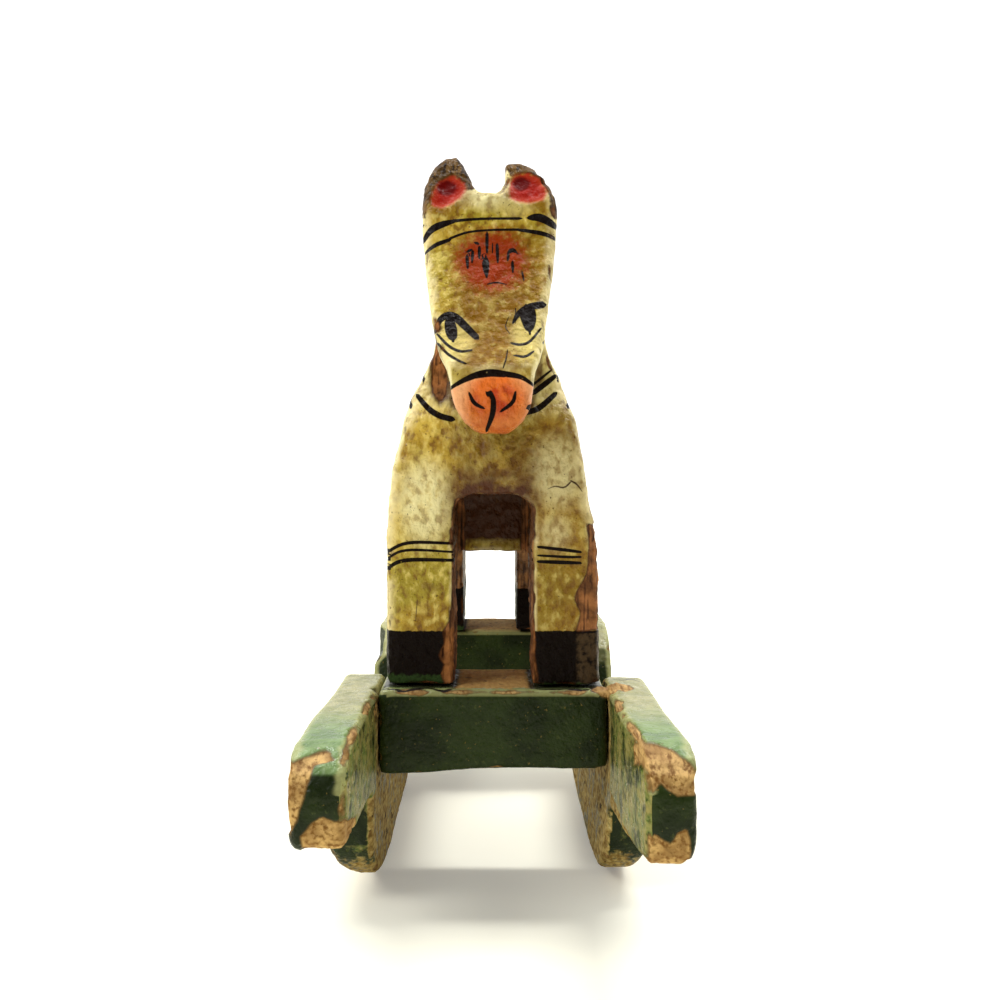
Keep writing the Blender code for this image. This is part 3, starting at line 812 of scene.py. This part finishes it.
# Black strokes on the front as (points across and up, width at start, middle and end)
FACE_STROKES = (
    # headband
    (((-13, 217), (-4, 217.8), (9, 218)), 1.3, 0.9, 1.0),
    (((11.5, 218.2), (15, 218.2), (20, 215.6)), 1.6, 2.8, 2.2),
    (((-22.4, 210.5), (-19.5, 214.2), (-16, 216), (-12, 217)), 1.4, 2.4, 1.2),
    (((-22, 206.2), (-18, 209.0), (-13.5, 210.8)), 0.8, 1.5, 1.2),
    (((-14, 211), (-8, 213.2), (-1, 214), (8.5, 214.2)), 0.9, 0.8, 0.9),
    (((7.5, 214.2), (15, 213), (20.5, 211.2)), 0.9, 1.5, 1.2),
    # forehead
    (((-1.9, 213.2), (-1.9, 206)), 0.9, 1.1, 0.6),
    (((-2.2, 204.4), (-2.3, 202), (-1.9, 197.4)), 1.0, 2.3, 0.5),
    (((-8.2, 205.2), (-7.9, 200.7)), 1.0, 1.1, 0.6),
    (((-6.4, 206.8), (-6.6, 202.6)), 0.9, 1.0, 0.5),
    (((-4.3, 208.2), (-4.3, 204.2)), 1.0, 1.1, 0.6),
    (((-8.4, 206.4), (-6.6, 207.4)), 0.6, 1.2, 0.6),
    (((1.3, 209.2), (1.5, 202.8)), 1.0, 1.1, 0.6),
    (((4.6, 206.0), (6.0, 207.2), (7.4, 206.4)), 0.7, 1.6, 0.8),
    (((4.9, 206), (4.6, 203.4)), 0.8, 1.0, 0.5),
    (((6.1, 203.2), (6.2, 199.3)), 0.8, 1.0, 0.5),
    (((-5.9, 209.8), (-4.4, 209.2)), 0.6, 1.1, 0.6),
    (((-2, 195.2), (1, 195.9), (4.3, 195.2)), 0.4, 0.6, 0.3),
    (((9.0, 200), (9.6, 196.5)), 0.4, 0.7, 0.4),
    # right eye
    (
        ((-17.4, 179.5), (-16, 183.2), (-13.5, 184.8), (-11, 183.8), (-8.3, 181.1), (-4.8, 177.4)),
        1.2, 2.6, 2.0,
    ),
    (((-13.2, 183), (-12.6, 180), (-12.0, 177.4)), 2.8, 3.7, 2.6),
    (((-16.8, 178.8), (-13.3, 174.8), (-9.7, 172.8), (-6.3, 173.2)), 0.7, 1.0, 0.8),
    (((-16.7, 176), (-13.5, 172.2), (-10.1, 169.8), (-7.6, 168.7)), 0.7, 0.9, 0.6),
    # left eye
    (((6, 182.2), (8, 185.6), (11.3, 187.6), (15.4, 188.4)), 0.8, 2.2, 2.4),
    (((10.4, 186), (10.8, 183.4), (10.9, 180.4)), 5.2, 4.6, 2.6),
    (((5.2, 175.6), (8, 175), (10.8, 176), (14.5, 180.6)), 0.8, 1.0, 0.6),
    (((6.1, 171.4), (9.3, 171), (12, 172.8)), 0.7, 0.9, 0.6),
    (((4.8, 184.5), (3.8, 181), (5.2, 178.5)), 0.2, 0.35, 0.2),
    (((4.3, 173.4), (3.8, 170.2), (2.9, 167.4)), 0.3, 0.5, 0.4),
    # noseband
    (((-13.4, 161), (-9, 163.6), (-5.2, 165.3)), 0.8, 1.4, 1.9),
    (((-5.6, 165.2), (-1, 166), (4, 165.6)), 1.9, 2.3, 1.8),
    (((3.6, 165.7), (8, 164.8), (12, 162.4)), 1.8, 1.4, 0.8),
    # mouth and nostrils
    (((-0.8, 160.8), (0.1, 158), (-0.2, 154), (-1.9, 149.4)), 0.9, 1.7, 0.9),
    (((-6.9, 160.3), (-5.4, 157.4), (-2.6, 155.8)), 0.7, 1.2, 0.7),
    (((6.5, 160.6), (5.6, 157.5), (2.0, 154.8)), 0.7, 1.2, 0.7),
    (((-2.0, 160.6), (-0.9, 158.6)), 0.6, 0.9, 0.5),
    # collar
    (((-24.8, 162.0), (-21, 157.6), (-17.3, 155.2), (-13, 154.0)), 1.5, 2.0, 1.9),
    (((10.2, 156.0), (15.0, 157.8), (20.5, 162.6)), 1.6, 2.0, 1.6),
    (((13, 162.6), (20.6, 168.6)), 1.6, 1.9, 1.4),
    (((13, 165.4), (19.4, 170.6)), 0.7, 0.9, 0.6),
    # knee bands
    (((-35, 110.6), (-27.5, 114.0), (-12.6, 113.8)), 1.0, 1.15, 0.9),
    (((-35, 108.4), (-28.2, 111.6), (-12.6, 111.0)), 0.7, 0.95, 0.7),
    (((-35, 105.2), (-28.5, 108.3), (-12.6, 108.3)), 1.0, 1.35, 1.0),
    (((14.6, 112.7), (24, 111.6), (28.6, 111.0)), 0.9, 1.15, 0.8),
    (((14.6, 109.9), (24, 109.4), (28.6, 109.4)), 0.7, 0.95, 0.7),
    (((14.6, 107.9), (28.6, 107.4)), 1.0, 1.3, 0.9),
)


# ---------------- boards

# How far each rocker reaches to front and rear, the height of its rounded lower part, and its inner
# upper edge as (across, up)
ROCKER_END = 142.5
LOBE_TOP = 37
INNER_EDGE = (37.3, 67)

# The front crossbar's front upper edge as (along, up), and where a hoof stands on a crossbar, as the
# middle and half the size (across, along)
FRONT_BAR_EDGE = (-72.2, 67.2)
HOOF_MIDDLE = (23.6, 52.5)
HOOF_HALF = (11.6, 16.5)

# A dark hole at the right front joint
JOINT_HOLE = (-37.2, -68.5, 67)

# Outlines on the ends of each rocker, across and up the end and on over its rounded top
RIGHT_UPPER_BARE = (
    (-53, 66), (-50.3, 65.4), (-47.5, 67.2), (-44, 69.0), (-42.2, 68.2), (-41, 66.2), (-45.4, 64.8),
    (-46.2, 61.5), (-46.8, 58), (-47.8, 54), (-48.6, 50.5), (-50.5, 48), (-53, 47),
)
RIGHT_LOWER_BARE = (
    (-48.4, 36), (-48.2, 46.5), (-45.8, 50), (-43.2, 51.4), (-39.5, 50), (-37, 50.6),
    (-34, 48), (-34, 36),
)
LEFT_UPPER_BARE = (
    (35, 70.4), (41.5, 71), (46, 69.2), (50, 65.2), (53, 60), (51, 57), (49.5, 57),
    (46.3, 56.8), (41.5, 60.4), (39, 58), (37.6, 63.5), (35.4, 67),
)
LEFT_LOWER_BARE = (
    (36, 36), (37.8, 43.8), (39.2, 47), (42.2, 45.6), (44.8, 44.6), (46.4, 47.4), (48.6, 48.6),
    (50, 44), (53, 36),
)
BOARD_CRACKS = (
    (((-38, -70.5), (-30, -71), (-22, -69.5), (-17, -71.5), (-12, -70)), 0.5, 0.9, 0.5),
    (((12, -69.5), (18, -70.6), (26, -70), (34, -71.5)), 0.6, 1.0, 0.4),
    (((40, -56), (44, -57.5), (46, -55.5), (49, -58)), 0.4, 0.8, 0.4),
)


def build_board(node, name, seed, material, shape):
    """Shared work on a painted board; shape bends its points and gives its fields."""
    board = carved_copy(node, name, voxel_mm=0.9, smoothing=3)
    points, normals = read_points(board)
    edge = convexity(board, points, normals)
    lump = rough_noise(points, 6, seed + 10, 3)
    grain = rough_noise(points, 2.2, seed + 14, 2)
    fields = shape(points, normals, edge, seed)
    filler = joint_filler(points)
    fields["bare"] = np.minimum(fields["bare"], 1.2 - 3 * filler + grain)
    hole = smoothstep(np.linalg.norm(points - JOINT_HOLE, axis=1), 2.6, 1.4)
    fields["dark"] = np.maximum(fields["dark"], hole)
    relief = 0.25 * lattice_noise(points, 18, seed) + 0.18 * lump + 0.10 * grain - 0.1
    relief -= 0.6 * smoothstep(fields["bare"], 0.4, -0.4) + 1.2 * hole
    relief += 0.3 * grain * smoothstep(fields["bare"], 0.3, -0.6)
    relief += filler * (1.0 + 2.8 * rough_noise(points, 2.8, 71, 3))
    points += normals * relief[:, None]
    write_points(board, points)
    fields["edge"] = edge * (normals[:, 2] > 0.15)
    # How far a face is a top, which the paint shows lighter as painted light
    fields["top"] = 6 - 10 * normals[:, 2]
    for field, values in fields.items():
        write_field(board, field, values)
    on_top = normals[:, 2] > 0.5
    write_strokes(board, "crack", ((points[:, (0, 1)], on_top, BOARD_CRACKS),))
    board.data.materials.append(material)


def joint_filler(points):
    """1 in the lump of fibrous filler on the left front joint, and a little in the right one."""
    left = np.linalg.norm((points - (38.5, -70, 67.5)) / (8, 6.5, 4), axis=1)
    right = np.linalg.norm((points - (-37.5, -76, 62)) / (2.5, 8, 5), axis=1)
    return np.maximum(smoothstep(left, 1.1, 0.5), 0.5 * smoothstep(right, 1.1, 0.5))


def shape_rocker(points, normals, edge, seed):
    x, y, z = points.T.copy()
    side = 1 if x.mean() > 0 else -1
    ragged = rough_noise(points, 5, seed + 40, 4)
    bare = np.minimum(3.0 - 2.4 * edge + 2.4 * ragged, rocker_end_wear(x, y, z, side, ragged))
    inner_edge = np.hypot(np.abs(x) - INNER_EDGE[0], z - INNER_EDGE[1])
    chipped = inner_edge - 2.0 + 0.09 * np.abs(np.abs(y) - 121) + 1.6 * ragged
    torn = inner_edge - 2.2 + 0.12 * np.abs(np.abs(y) - 86) + 2.2 * ragged
    inward = -side * normals[:, 0] > 0.3
    on_lobe = z < LOBE_TOP
    lobe_end = on_lobe & (np.abs(normals[:, 1]) > 0.35)
    rubbed = np.where(inward, -1.5 + 5 * ragged, np.where(lobe_end, 2.0 + 5 * ragged, OUTSIDE))
    inner_face = np.where(on_lobe | (np.abs(y) < 76), -1 + 3 * ragged, 5 + 4 * ragged)
    tread = np.where((normals[:, 2] < 0.2) & ~inward & on_lobe, (z - 12) * 0.3 + 3 * ragged, OUTSIDE)
    if side > 0:
        bend_left_rocker(points, x, y, z)
    else:
        bend_right_rocker(points, x, y, z)
    return {
        "bare": np.minimum.reduce([bare, chipped, torn]),
        "rubbed": rubbed,
        "faded": np.minimum(np.where(inward, inner_face, OUTSIDE), tread),
        # Dust and painted sheen on the tops, most towards the middle
        "dust_and_sheen": smoothstep(np.abs(y), 124, 84),
        "dark": np.zeros(len(x)),
        "tan": np.zeros(len(x)),
    }


def rocker_end_wear(x, y, z, side, ragged):
    """Below zero on the bare wood of the rocker's two ends; the top unrolls onto the plane of the end."""
    outlines = (LEFT_UPPER_BARE, LEFT_LOWER_BARE) if side > 0 else (RIGHT_UPPER_BARE, RIGHT_LOWER_BARE)
    unrolled = np.column_stack((x, z + 0.3 * np.maximum(ROCKER_END - np.abs(y), 0)))
    off_end = np.where(np.abs(y) > 120, 0, OUTSIDE)
    wear = [outline_field(unrolled, outline) for outline in outlines]
    return np.minimum(*wear) + 0.6 * ragged + off_end


def bend_left_rocker(points, x, y, z):
    """The lower part leans in and tapers to the floor; the front end leans out, most at its top."""
    outer = smoothstep(x, 45, 50)
    ahead = smoothstep(-y, 90, 130)
    points[:, 0] -= 2.2 * smoothstep(z, 40, 6) + 3.0 * smoothstep(z, 20, 3) * smoothstep(x, 43, 50)
    points[:, 0] += 1.4 * smoothstep(-y, 90, 138) * smoothstep(x, 45, 38)
    points[:, 0] += 0.8 * ahead * outer * smoothstep(z, 57, 64)
    points[:, 0] -= 1.2 * ahead * outer * smoothstep(z, 46, 38)


def bend_right_rocker(points, x, y, z):
    """The outer face comes in at the floor and the rear shoulder, and stands out at the front's top."""
    outer = smoothstep(-x, 45, 50)
    points[:, 0] += 5.0 * smoothstep(z, 24, 2) * smoothstep(-x, 42, 50)
    points[:, 0] += 3.0 * smoothstep(z, 14, 3) * smoothstep(-x, 42, 49)
    rear_shoulder = smoothstep(y, 34, 42) * smoothstep(y, 62.5, 54) * smoothstep(z, 51.5, 57)
    points[:, 0] += 3.2 * rear_shoulder * smoothstep(-x, 44, 50)
    points[:, 0] -= 1.0 * smoothstep(-y, 70, 110) * outer * smoothstep(z, 40, 56)


def shape_crossbar(points, normals, edge, seed):
    x, y, z = points.T.copy()
    in_front = y.mean() < 0
    ragged = rough_noise(points, 5, seed + 40, 4)
    front_edge = np.hypot(y - FRONT_BAR_EDGE[0], z - FRONT_BAR_EDGE[1])
    top = normals[:, 2] > 0.5
    middle = np.maximum(np.abs(x) - 12.5, -y - 69.5) if in_front else -2
    across = np.abs(np.abs(x) - HOOF_MIDDLE[0]) - HOOF_HALF[0]
    along = np.abs(np.abs(y) - HOOF_MIDDLE[1]) - HOOF_HALF[1]
    if in_front:
        points[:, 2] -= 1.8 * smoothstep(-x, -8, 34) * smoothstep(z, 56, 44)
    return {
        "bare": np.minimum(3.4 - 2.5 * edge + 2.0 * ragged, front_edge - 1.0 + 2.2 * ragged),
        "rubbed": np.full(len(x), OUTSIDE),
        "faded": np.where(top, middle + 1.5 * ragged, OUTSIDE),
        # Dust and painted sheen on the top
        "dust_and_sheen": np.full(len(x), 0.25),
        "dark": np.where(top, 0.9 * smoothstep(np.maximum(across, along), 1.0, 0.2), 0),
        "tan": 0.6 * top,
    }


# ---------------- studio


def add_area_light(name, place, aim, size, power):
    data = bpy.data.lights.new(name, "AREA")
    data.shape = "RECTANGLE"
    data.size, data.size_y = size
    data.energy = power
    lamp = add_object(name, data)
    lamp.location = place
    lamp.rotation_euler = (Vector(aim) - Vector(place)).to_track_quat("-Z", "Y").to_euler()


def build_world():
    """White all round to the eye; as a light, bright above and behind the toy and dim in front."""
    world = bpy.data.worlds.new("studio_white")
    world.use_nodes = True
    tree = world.node_tree
    place = tree.nodes.new("ShaderNodeTexCoord").outputs["Generated"]
    split = tree.nodes.new("ShaderNodeSeparateXYZ")
    tree.links.new(place, split.inputs[0])
    above_or_behind = tree.nodes.new("ShaderNodeMath")
    above_or_behind.operation = "MULTIPLY_ADD"
    tree.links.new(split.outputs["Z"], above_or_behind.inputs[0])
    above_or_behind.inputs[1].default_value = 0.8
    tree.links.new(split.outputs["Y"], above_or_behind.inputs[2])
    bright = smooth_range(tree, -0.4, 1.0, 0.05, 1.3)
    tree.links.new(above_or_behind.outputs[0], bright.inputs["Value"])
    seen = tree.nodes.new("ShaderNodeLightPath").outputs["Is Camera Ray"]
    strength = tree.nodes.new("ShaderNodeMath")
    strength.operation = "MAXIMUM"
    tree.links.new(seen, strength.inputs[0])
    tree.links.new(bright.outputs["Result"], strength.inputs[1])
    background = tree.nodes["Background"]
    background.inputs["Color"].default_value = (1, 1, 1, 1)
    tree.links.new(strength.outputs[0], background.inputs["Strength"])
    bpy.context.scene.world = world


def build_lights():
    """Two strips above and behind the toy, for its edges and tops, and a weak key light in front."""
    for name, x, power in (("left_strip", 0.36, 5.4), ("right_strip", -0.36, 4.0)):
        add_area_light(name, (x, 0.12, 0.85), (x, -0.07, 0), (0.45, 0.08), power)
    add_area_light("key", (-0.55, -0.45, 0.60), (0, 0, 0.10), (0.30, 0.30), 3.0)


def build_floor():
    """A pale floor that glows to the eye, more so further from the toy, to meet the white world."""
    reach = 6.0
    corners = [(-reach, -reach, 0), (reach, -reach, 0), (reach, reach, 0), (-reach, reach, 0)]
    mesh = bpy.data.meshes.new("floor")
    mesh.from_pydata(corners, [], [(0, 1, 2, 3)])
    floor = add_object("floor", mesh)
    paint = Paint("floor_white")
    paint.shader.inputs["Specular IOR Level"].default_value = 0.2
    paint.shader.inputs["Emission Color"].default_value = (1, 1, 1, 1)
    seen = paint.tree.nodes.new("ShaderNodeLightPath").outputs["Is Camera Ray"]
    distance = paint.tree.nodes.new("ShaderNodeVectorMath")
    distance.operation = "LENGTH"
    paint.link(paint.place, distance.inputs[0])
    glow = paint.between(distance.outputs["Value"], 0.13, 0.40, 0.18, 0.8)
    paint.link(paint.times(seen, glow), paint.shader.inputs["Emission Strength"])
    mesh.materials.append(paint.finish((0.88, 0.86, 0.71, 1), 0.8))


def build_camera():
    """A level camera close in front of the toy, at the height of the horse's chest."""
    data = bpy.data.cameras.new("camera")
    data.sensor_width = 36
    data.lens = 36
    data.clip_start = 0.01
    data.shift_x = 0.007
    data.shift_y = -0.042
    camera = add_object("camera", data)
    camera.location = (0, -0.3925, 0.1415)
    camera.rotation_euler = (math.pi / 2, 0, 0)
    bpy.context.scene.camera = camera


bpy.context.scene.view_settings.view_transform = "Standard"
build_camera()
build_world()
build_lights()
build_floor()
build_horse(horse_paint())
green = green_paint()
build_board("left_rocker", "left_painted_rocker", 21, green, shape_rocker)
build_board("right_rocker", "right_painted_rocker", 22, green, shape_rocker)
build_board("front_crossbar", "front_painted_crossbar", 23, green, shape_crossbar)
build_board("rear_crossbar", "rear_painted_crossbar", 24, green, shape_crossbar)
peg_material = peg_wood()
nail_material = rusted_iron()
for node_name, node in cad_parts.items():
    if node_name.endswith("_peg"):
        node.data.materials[0] = peg_material
    if node_name.endswith("_nail"):
        node.data.materials[0] = nail_material
